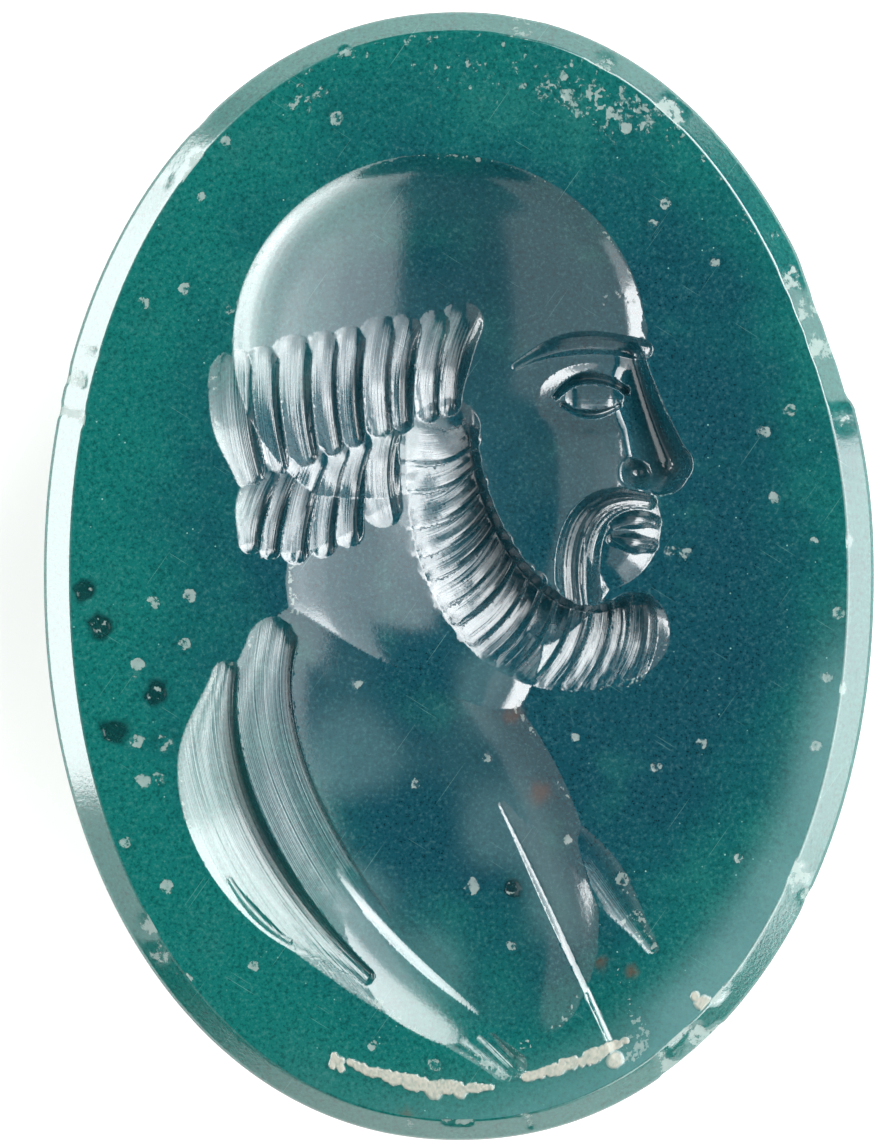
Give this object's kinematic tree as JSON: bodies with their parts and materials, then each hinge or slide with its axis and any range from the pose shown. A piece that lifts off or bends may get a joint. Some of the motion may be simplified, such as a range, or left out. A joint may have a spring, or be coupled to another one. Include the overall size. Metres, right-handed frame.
{
  "type": "intaglio gem",
  "caption": "Oval green chalcedony ring stone with a bevelled rim and a bearded bust in profile cut into its flat table.",
  "frame": {"origin": "middle of the flat back, on the surface the stone lies on", "axes": "+Z out of the carved table, +Y along the oval towards the crown of the head, +X the way the head faces"},
  "size_m": [0.0104, 0.014, 0.003],
  "materials": {
    "chalcedony": "polished translucent green chalcedony, worn and speckled"
  },
  "bodies": {
    "root": {"carved_stone": "chalcedony"}
  },
  "joints": []
}
